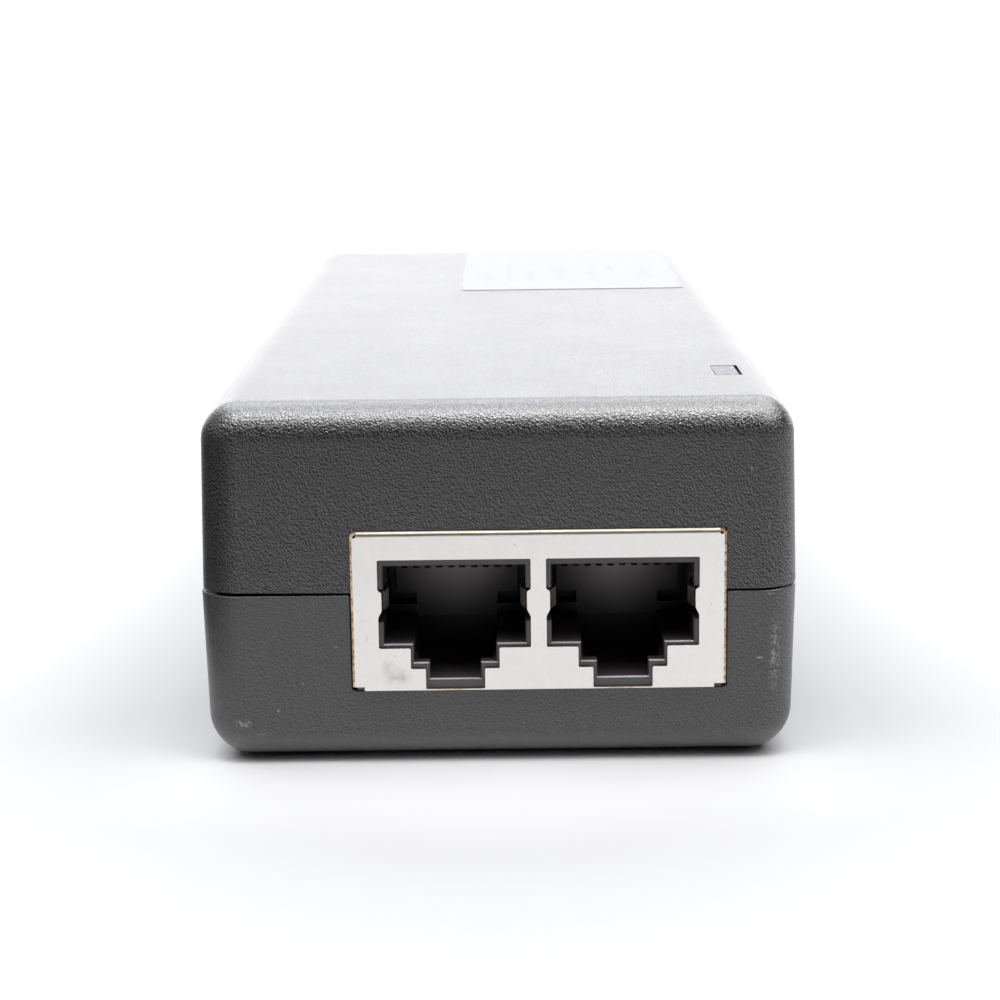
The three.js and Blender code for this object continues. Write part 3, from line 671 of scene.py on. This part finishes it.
def jack_cutter(side_gap):
    half = SHIELD_HALF + side_gap
    low, high = SHIELD[0].z - 0.05 * MM, SHIELD[1].z + 0.05 * MM
    outline = [(JACK_X - half, low), (JACK_X + half, low),
               (JACK_X + half, high), (JACK_X - half, high)]
    outline = rounded(outline, 0.25 * MM)
    return prism("jack_cutter", outline, "y", -HALF_Y - 2 * MM, -HALF_Y + 2 * WALL)


def inlet_cutter():
    """Opening for the mains inlet, with its two upper corners cut off."""
    half_x = INLET_HALF_X + FIT_GAP
    half_z = (INLET[1].z - INLET[0].z) / 2 + FIT_GAP
    low, high = INLET_Z - half_z, INLET_Z + half_z
    outline = [
        (-half_x, low), (half_x, low), (half_x, high - INLET_CHAMFER),
        (half_x - INLET_CHAMFER, high), (-half_x + INLET_CHAMFER, high),
        (-half_x, high - INLET_CHAMFER),
    ]
    outline = rounded(outline, 0.6 * MM)
    return prism("inlet_cutter", outline, "y", HALF_Y - 2 * WALL, HALF_Y + 2 * MM)


def make_lower_shell():
    shell, inside = half_shell("lower_case", 0.0, BOTTOM_R)
    tongue_foot = SEAM_Z - SEAM_GAP / 2 - MM
    join(shell, lofted("tongue", [
        case_ring(TONGUE_IN, tongue_foot), case_ring(TONGUE_IN, SEAM_Z + TONGUE_HIGH)]))
    cut(shell, inside)
    join(shell, *posts("boss", BOSS_R, MM, BOSS_TOP))
    cut(
        shell, jack_cutter(0.1 * MM), inlet_cutter(),
        *posts("bore", BORE_R, -MM, BORE_DEEP), *posts("hole", HOLE_R, MM, HOLE_TOP),
    )
    return ease_edges(shell, CASE_EASE, 3)


def make_upper_shell():
    shell, inside = half_shell("upper_case", TOP_Z, TOP_R)
    rabbet = lofted("rabbet", [
        case_ring(RABBET_IN, SEAM_Z - MM), case_ring(RABBET_IN, SEAM_Z + RABBET_HIGH)])
    cut(shell, inside, rabbet)
    join(shell, *posts("pillar", PILLAR_R, PILLAR_FOOT, TOP_Z - MM))
    cut(
        shell, jack_cutter(0.02 * MM), inlet_cutter(),
        *posts("pilot", PILOT_R, PILOT_FOOT, PILOT_TOP),
    )
    gape_at = Vector((-HALF_X + 3 * MM, -HALF_Y))
    for vertex in shell.data.vertices:
        vertex.co.x += (HALF_X - vertex.co.x) / (2 * HALF_X) * LEFT_SHORT
        if vertex.co.z < SEAM_Z + 0.4 * MM and vertex.co.y < -HALF_Y + 6 * MM:
            away = (vertex.co.xy - gape_at).length
            vertex.co.z += GAPE * math.exp(-((away / GAPE_REACH) ** 2))
    ease_edges(shell, CASE_EASE, 3)
    hole = [(PIPE_X + i * WINDOW_HALF_X, PIPE_Y + j * WINDOW_HALF_Y)
            for i, j in ((-1, -1), (1, -1), (1, 1), (-1, 1))]
    cut(shell, prism("window", rounded(hole, 0.15 * MM), "z", TOP_Z - 2 * WALL, TOP_Z + MM))
    return shade(shell)


# ---------------------------------------------------------------- jack shield

def arc(u, v, radius, start, end):
    """Points of an arc about (u, v), between two angles in degrees."""
    turns = [math.radians(start + (end - start) * i / BEND_STEPS) for i in range(BEND_STEPS + 1)]
    return [(u + radius * math.cos(a), v + radius * math.sin(a)) for a in turns]


def port_opening():
    """Outline of the opening in the shield before a port, about the port's own centre."""
    outline = [(-x, z) for x, z in OPENING] + OPENING[::-1]
    return rounded([(x * MM, z * MM) for x, z in outline], 0.14 * MM)


def grounding_spring(port_x, sign):
    """Tongue folded back from the edge of the opening; it bows into the port and out again."""
    left, right = [], []
    for i, (x, y) in enumerate(SPRING):
        before, after = Vector(SPRING[max(i - 1, 0)]), Vector(SPRING[min(i + 1, len(SPRING) - 1)])
        across = (after - before).normalized() * SPRING_HALF_THICK
        left.append((port_x + sign * (x - across.y) * MM, JACK_Y + (y + across.x) * MM))
        right.append((port_x + sign * (x + across.y) * MM, JACK_Y + (y - across.x) * MM))
    return prism("spring", left + right[::-1], "z", SPRING_FOOT, SPRING_TOP)


def make_shield():
    (x0, y0, z0), (x1, y1, z1) = SHIELD
    inner_r = BEND - SHEET
    # The front, top and back are one strip, bent over the two upper edges.
    outline = [(y1, z0)]
    outline += arc(y1 - BEND, z1 - BEND, BEND, 0, 90)
    outline += arc(y0 + BEND, z1 - BEND, BEND, 90, 180)
    outline += [(y0, z0), (y0 + SHEET, z0)]
    outline += arc(y0 + BEND, z1 - BEND, inner_r, 180, 90)
    outline += arc(y1 - BEND, z1 - BEND, inner_r, 90, 0)
    outline += [(y1 - SHEET, z0)]
    strip = prism("jack_shell", outline, "x", x0 + STRIP_IN, x1 - STRIP_IN)
    notches = [box("notch", a, b, y0 - MM, y0 + BEND, z1 - FOLD_NOTCH, z1 + MM)
               for a, b in ((x0 - MM, x0 + FOLD_NOTCH), (x1 - FOLD_NOTCH, x1 + MM))]
    openings = [
        prism("opening", [(x + u, v) for u, v in port_opening()], "y", y0 - MM, y0 + 2 * SHEET)
        for x in PORT_PLACES]
    feet = [box("corner", a, b, y0 - MM, y0 + 2 * SHEET, z0 - MM, z0 + FOOT_LIFT)
            for a, b in ((x0 - MM, x0 + FOOT_WIDE), (x1 - FOOT_WIDE, x1 + MM))]
    cut(strip, *notches, *openings, *feet)
    # Each side is a plate bent down from the top.
    sides = []
    for s, x in ((1, x0), (-1, x1)):
        outline = [(x, z0 + FOOT_LIFT)]
        outline += arc(x + s * BEND, z1 - BEND, BEND, 90 + s * 90, 90)
        outline += arc(x + s * BEND, z1 - BEND, inner_r, 90, 90 + s * 90)
        outline += [(x + s * SHEET, z0 + FOOT_LIFT)]
        sides.append(prism("side", outline, "y", y0 + 0.04 * MM, y1 - 0.3 * MM))
    springs = [grounding_spring(x, sign) for x in PORT_PLACES for sign in (-1, 1)]
    join(strip, *sides, *springs)
    return ease_edges(strip, 0.035 * MM)


def edge_faces(obj, is_edge, material):
    """Gives one more material to the faces that is_edge picks by centre and normal."""
    obj.data.materials.append(material)
    for face in obj.data.polygons:
        if is_edge(face.center, face.normal):
            face.material_index = len(obj.data.materials) - 1


def is_raw_edge(centre, normal):
    """Cut edges of the front sheet: down both sides, round the openings and at the fold notches."""
    side_x = SHIELD_HALF - 0.18 * MM
    off = abs(centre.x - JACK_X)
    side = off > side_x - 0.4 * MM and normal.y < -0.3 and centre.y > JACK_Y + 0.03 * MM
    rim = abs(normal.y) < 0.5 and centre.z < 17.9 * MM
    notch = off > side_x - 0.6 * MM and centre.z > SHIELD[1].z - 0.6 * MM and normal.y > -0.8
    return centre.y < JACK_Y + 0.3 * MM and (side or rim or notch)


def is_fold(centre, normal):
    """The bend between the front and the top."""
    bent = centre.y < JACK_Y + BEND and centre.z > SHIELD[1].z - BEND
    return bent and abs(normal.x) < 0.5 and normal.z > 0.2


# ---------------------------------------------------------------- small pieces

def make_screw(i, x, y):
    screw = spun(f"screw_{i}", [(r * MM, z * MM) for r, z in SCREW], x, y)
    arm, half = RECESS_ARM, RECESS_HALF
    cut(
        screw,
        box("slot", x - arm, x + arm, y - half, y + half, 0, RECESS_TOP),
        box("slot", x - half, x + half, y - arm, y + arm, 0, RECESS_TOP),
    )
    return ease_edges(screw, 0.05 * MM, angle=40)


def make_label():
    low, high = LABEL
    outline = [(low.x, low.y), (high.x, low.y), (high.x, high.y), (low.x, high.y)]
    label = prism("label", rounded(outline, MM, 8), "z", low.z, low.z + 0.05 * MM)
    return ease_edges(label, 0.04 * MM, 3, 60)


def make_window():
    """The light column: nearly flush, a touch askew, and against the back left of its hole."""
    window = refined("light_window", "light_pipe", 0.06 * MM)
    middle = Vector((PIPE_X, PIPE_Y, 0))
    turn = Matrix.Rotation(math.radians(0.8), 4, "Z")
    aside = Vector((-0.10, 0.12, 0)) * MM
    rise = TOP_Z - 0.02 * MM - PIPE[1].z
    for vertex in window.data.vertices:
        if vertex.co.z > TOP_Z - 1.5 * MM:
            vertex.co = middle + turn @ (vertex.co - middle) + aside
        if vertex.co.z > TOP_Z - 0.5 * MM:
            vertex.co.z += rise
    return window


# ---------------------------------------------------------------- the whole object

def make_case():
    # The lower half's higher base tone is painted light: the same black plastic as the upper half,
    # painted paler where it faces the bright floor.
    case_lower = case_plastic("case_plastic_lower", 0.022 * MM, 0.026, (0.5, 1.6), 0.13)
    case_upper = case_plastic("case_plastic_upper", 0.028 * MM, 0.018, (0.05, 2.4), 0.30)
    stand_for(make_lower_shell(), "lower_shell", case_lower)
    stand_for(make_upper_shell(), "upper_shell", case_upper)


def make_jack():
    shield = stand_for(
        make_shield(), "jack_shield", nickel_sheet("shield_nickel"))
    edge_faces(shield, is_raw_edge, raw_brass("raw_edge_brass"))
    edge_faces(shield, is_fold, dark_fold("dark_fold"))
    black = jack_plastic("jack_black")
    gold = metal("contact_gold", (0.95, 0.70, 0.30), 0.25)
    housing = refined("jack_moulding", "jack_housing", 0.018 * MM)
    stand_for(housing, "jack_housing", black)
    for side in ("left", "right"):
        node = f"{side}_contact_carrier"
        stand_for(refined(f"{side}_carrier", node, 0.06 * MM), node, black)
        for i in range(1, 9):
            node = f"{side}_contact_{i}"
            wire = refined(f"{side}_wire_{i}", node, 0.09 * MM, 3)
            stand_for(wire, node, gold, f"{side}_contacts")


def make_inlet():
    black = moulded("inlet_black", (0.020, 0.020, 0.021), 0.32)
    pin = metal("pin_nickel", (0.72, 0.70, 0.67), 0.25, stretch=(1, 0.1, 1))
    body = refined("inlet_body", "inlet_housing", 0.25 * MM, 3)
    stand_for(body, "inlet_housing", black)
    for name in ("line", "neutral", "earth"):
        node = f"inlet_pin_{name}"
        stand_for(refined(f"{name}_blade", node, 0.2 * MM, 3), node, pin)


def make_fittings():
    zinc = metal("screw_zinc", (0.62, 0.62, 0.63), 0.32)
    for i, x, y in screw_places():
        stand_for(make_screw(i, x, y), f"case_screw_{i}", zinc)
    stand_for(make_label(), "top_label", label_film("label_film"))
    stand_for(make_window(), "light_pipe", milky_clear("milky_clear"))


def inside_materials():
    """Materials for the parts that stay hidden in the case."""
    looks = {
        "board": moulded("solder_mask", (0.02, 0.13, 0.05), 0.35),
        "film": moulded("film_sheet", (0.6, 0.52, 0.3), 0.3),
        "epoxy": moulded("epoxy_case", (0.03, 0.03, 0.032), 0.55),
        "ceramic_blue": moulded("lacquer_blue", (0.03, 0.14, 0.42), 0.3),
        "film_capacitor": moulded("case_yellow", (0.7, 0.46, 0.05), 0.4),
        "ferrite": moulded("ferrite_grey", (0.06, 0.06, 0.065), 0.7, depth=0.01),
        "copper_winding": metal("enamelled_copper", (0.72, 0.30, 0.12), 0.3),
        "tape": moulded("winding_tape", (0.72, 0.5, 0.08), 0.3),
        "capacitor_sleeve": moulded("shrink_sleeve", (0.015, 0.02, 0.04), 0.25),
        "heatsink_aluminium": metal("mill_aluminium", (0.75, 0.76, 0.77), 0.35),
        "light_window": milky_clear("led_epoxy"),
    }
    slots = {p["node"]: p["material_slot"] for p in frame["record"]["subparts"]}
    for node, obj in NODES.items():
        if slots.get(node) in looks:
            obj.data.materials.clear()
            obj.data.materials.append(looks[slots[node]])


# ---------------------------------------------------------------- camera, light and floor

def make_camera():
    """Close above the desk, a little right of the middle, looking down at the ports."""
    data = bpy.data.cameras.new("camera")
    data.sensor_width = 36
    data.lens = 80.78
    data.shift_y = -0.0085
    data.clip_start = 0.01
    camera = new_object("camera", data)
    pitch, yaw, roll = (math.radians(a) for a in (11.973, -0.217, -0.766))
    ahead = Vector((
        math.sin(yaw) * math.cos(pitch), math.cos(yaw) * math.cos(pitch), -math.sin(pitch)))
    level = Vector((math.cos(yaw), -math.sin(yaw), 0))
    above = level.cross(ahead)
    right = level * math.cos(roll) + above * math.sin(roll)
    up = above * math.cos(roll) - level * math.sin(roll)
    turn = Matrix((right, up, -ahead)).transposed().to_4x4()
    camera.matrix_world = Matrix.Translation((0.91 * MM, -242.1 * MM, 61.55 * MM)) @ turn
    bpy.context.scene.camera = camera


def softbox(name, low, high, radiance, spread, side, tint):
    """Flat light that spans the elevations low to high and the width spread, all in degrees."""
    data = bpy.data.lights.new(name, "AREA")
    data.shape = "RECTANGLE"
    data.size = 2 * LIGHT_DISTANCE * math.tan(math.radians(spread / 2))
    data.size_y = 2 * LIGHT_DISTANCE * math.tan(math.radians((high - low) / 2))
    data.energy = radiance * math.pi * data.size * data.size_y
    data.color = tint
    middle = math.radians((low + high) / 2)
    out = Vector((0, math.cos(middle), math.sin(middle))) * LIGHT_DISTANCE
    out.rotate(Matrix.Rotation(math.radians(-side), 3, "Z"))
    light = new_object(name, data)
    light.location = out + LIGHT_TARGET
    light.rotation_euler = (-out).to_track_quat("-Z", "Y").to_euler()
    light.visible_camera = False


def make_light():
    """The softboxes, and a world that is white behind the scene and nearly dark as a light."""
    world = bpy.data.worlds.new("studio")
    world.use_nodes = True
    tree = world.node_tree
    dim = tree.nodes["Background"]
    white = tree.nodes.new("ShaderNodeBackground")
    for node, strength in ((dim, AMBIENT), (white, BACKDROP)):
        node.inputs["Color"].default_value = (1, 1, 1, 1)
        node.inputs["Strength"].default_value = strength
    path = tree.nodes.new("ShaderNodeLightPath")
    pick = tree.nodes.new("ShaderNodeMixShader")
    tree.links.new(path.outputs["Is Camera Ray"], pick.inputs["Fac"])
    tree.links.new(dim.outputs["Background"], pick.inputs[1])
    tree.links.new(white.outputs["Background"], pick.inputs[2])
    tree.links.new(pick.outputs["Shader"], tree.nodes["World Output"].inputs["Surface"])
    bpy.context.scene.world = world
    for light in STUDIO:
        softbox(*light)


def white_paper():
    """White paper with painted light: brighter round the case and nearest the ports, which thins
    the case's shadow, and brighter towards the horizon.
    """
    s = Shader("white_sheet")
    paper = s.mix(s.noise(2 * MM, detail=3.0), (0.297, 0.297, 0.300, 1), (0.303, 0.303, 0.306, 1))
    painted_fill_round_case = s.near((0, 25 * MM, 0), (90 * MM, 95 * MM, 1))
    paper = s.mix(painted_fill_round_case, paper, (0.39, 0.39, 0.393, 1))
    # Painted light nearest the ports, where the case's shadow falls.
    before = s.near((0, -HALF_Y, 0), (45 * MM, 24 * MM, 1))
    paper = s.mix(before, paper, (0.43, 0.43, 0.436, 1))
    # Painted light: the paper grows brighter towards the horizon.
    far = s.ramp(s.along("Y"), 0.1, 1.0)
    return s.set(
        Base_Color=s.mix(far, paper, (0.345, 0.345, 0.346, 1)),
        Roughness=0.8,
        Specular_IOR_Level=0.1,
    )


def make_floor():
    x, y = 2.0, 1.2
    mesh = mesh_from("floor", [(-x, -y, 0), (x, -y, 0), (x, y, 0), (-x, y, 0)], [(0, 1, 2, 3)])
    mesh.materials.append(white_paper())
    new_object("floor", mesh)


def make_flag():
    """Black card beside the case, seen only in its gloss, which darkens its left edge."""
    x, y0, y1, z0, z1 = -0.05, -0.20, -0.022, 0.0005, 0.10
    mesh = mesh_from("flag", [(x, y0, z0), (x, y1, z0), (x, y1, z1), (x, y0, z1)], [(0, 1, 2, 3)])
    card = Shader("black_card").set(Base_Color=(0.01, 0.01, 0.01, 1), Roughness=0.9)
    mesh.materials.append(card)
    flag = new_object("flag", mesh)
    flag.visible_camera = flag.visible_diffuse = flag.visible_shadow = False


make_camera()
make_light()
make_floor()
make_flag()
make_case()
make_jack()
make_inlet()
make_fittings()
inside_materials()
bpy.context.scene.view_settings.view_transform = "Standard"
